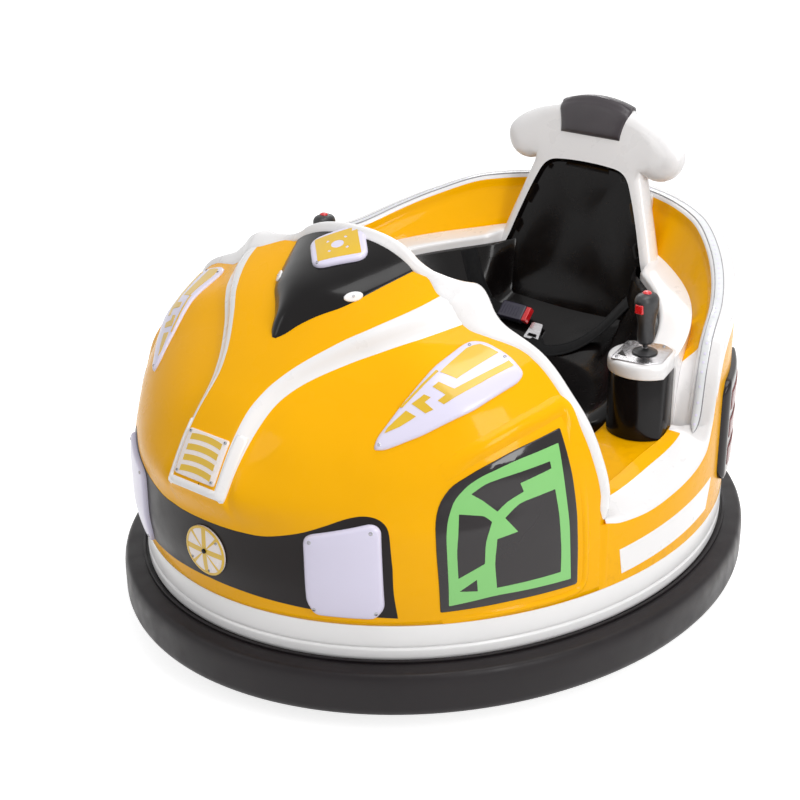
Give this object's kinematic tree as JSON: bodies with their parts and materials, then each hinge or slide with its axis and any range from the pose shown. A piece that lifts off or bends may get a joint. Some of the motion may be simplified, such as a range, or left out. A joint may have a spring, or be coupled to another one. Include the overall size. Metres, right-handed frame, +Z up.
{
  "type": "bumper car",
  "caption": "Oval bumper car with a wrap-around rubber bumper, raised-spine hood, open cockpit, twin joysticks, headrest seat and hidden drive wheels on a steel frame.",
  "frame": {"origin": "on the floor under the centre of the car's plan", "axes": "front of the car along -Y, driver's left along +X, +Z up"},
  "size_m": [1.224, 1.4, 0.9167],
  "materials": {
    "bumper_rubber": "smooth moulded black rubber, satin",
    "white_gelcoat": "glossy white gelcoat",
    "yellow_gelcoat": "glossy orange-yellow gelcoat with white painted bands",
    "cockpit_gelcoat": "glossy orange-yellow gelcoat with a white armrest ledge",
    "clear_strip": "translucent light strip",
    "black_gloss": "high-gloss black moulding",
    "lamp_lens": "milky white lens with small corner screws",
    "lamp_print": "milky white lens printed with plain yellow shapes",
    "window_panel": "gloss black panel printed with plain green lines",
    "black_pad": "black padded vinyl",
    "dark_plastic": "dark moulded plastic",
    "bright_steel": "brushed steel",
    "grip_plastic": "black grip with a chrome shaft and a rubber boot",
    "red_plastic": "glossy red button",
    "frame_steel": "black painted steel tube",
    "zinc_steel": "zinc plated steel",
    "motor_metal": "dark grey painted cast housing",
    "hub_metal": "cast aluminium",
    "drive_rubber": "solid black rubber tyre",
    "caster_rubber": "dark grey solid rubber"
  },
  "bodies": {
    "chassis": {"bumper_ring": "bumper_rubber", "base_skirt": "white_gelcoat", "front_hood": "yellow_gelcoat", "rear_shell": "yellow_gelcoat", "rim_light_strip": "clear_strip", "hood_rim": "white_gelcoat", "dash_cowl": "black_gloss", "cowl_lamp": "lamp_lens", "round_front_lamp": "lamp_print", "front_light_plate": "lamp_print", "cockpit_tub": "cockpit_gelcoat", "seat_base": "black_gloss", "seat_back": "white_gelcoat", "headrest_pad": "black_pad", "seat_belt_buckle": "dark_plastic", "seat_belt_tongue": "bright_steel", "frame_ring": "frame_steel", "chassis_frame": "frame_steel", "battery_block": "dark_plastic", "headlight_left": "lamp_lens", "headlight_right": "lamp_lens", "shoulder_lamp_left": "lamp_print", "shoulder_lamp_right": "lamp_print", "side_window_left": "window_panel", "side_window_right": "window_panel", "tail_lamp_left": "black_gloss", "tail_lamp_right": "black_gloss", "joystick_pod_left": "black_gloss", "joystick_pod_right": "black_gloss", "joystick_plate_left": "bright_steel", "joystick_plate_right": "bright_steel", "joystick_left": "grip_plastic", "joystick_right": "grip_plastic", "joystick_trigger_left": "red_plastic", "joystick_trigger_right": "red_plastic", "gear_motor_left": "motor_metal", "gear_motor_right": "motor_metal"},
    "drive_wheel_left": {"drive_tyre_left": "drive_rubber", "drive_hub_left": "hub_metal"},
    "drive_wheel_right": {"drive_tyre_right": "drive_rubber", "drive_hub_right": "hub_metal"},
    "front_caster_fork": {"caster_fork_front": "zinc_steel"},
    "rear_caster_fork": {"caster_fork_rear": "zinc_steel"},
    "front_caster_wheel": {"caster_wheel_front": "caster_rubber"},
    "rear_caster_wheel": {"caster_wheel_rear": "caster_rubber"}
  },
  "joints": [
    {"name": "drive_spin_left", "type": "hinge", "parent": "chassis", "child": "drive_wheel_left", "pos_m": [0.43, 0.06, 0.1], "axis": [1, 0, 0], "continuous": true},
    {"name": "drive_spin_right", "type": "hinge", "parent": "chassis", "child": "drive_wheel_right", "pos_m": [-0.43, 0.06, 0.1], "axis": [1, 0, 0], "continuous": true},
    {"name": "front_caster_swivel", "type": "hinge", "parent": "chassis", "child": "front_caster_fork", "pos_m": [0, -0.47, 0.095], "axis": [0, 0, 1], "continuous": true},
    {"name": "rear_caster_swivel", "type": "hinge", "parent": "chassis", "child": "rear_caster_fork", "pos_m": [0, 0.52, 0.095], "axis": [0, 0, 1], "continuous": true},
    {"name": "front_caster_spin", "type": "hinge", "parent": "front_caster_fork", "child": "front_caster_wheel", "pos_m": [0, -0.446, 0.04], "axis": [1, 0, 0], "continuous": true},
    {"name": "rear_caster_spin", "type": "hinge", "parent": "rear_caster_fork", "child": "rear_caster_wheel", "pos_m": [0, 0.544, 0.04], "axis": [1, 0, 0], "continuous": true}
  ]
}
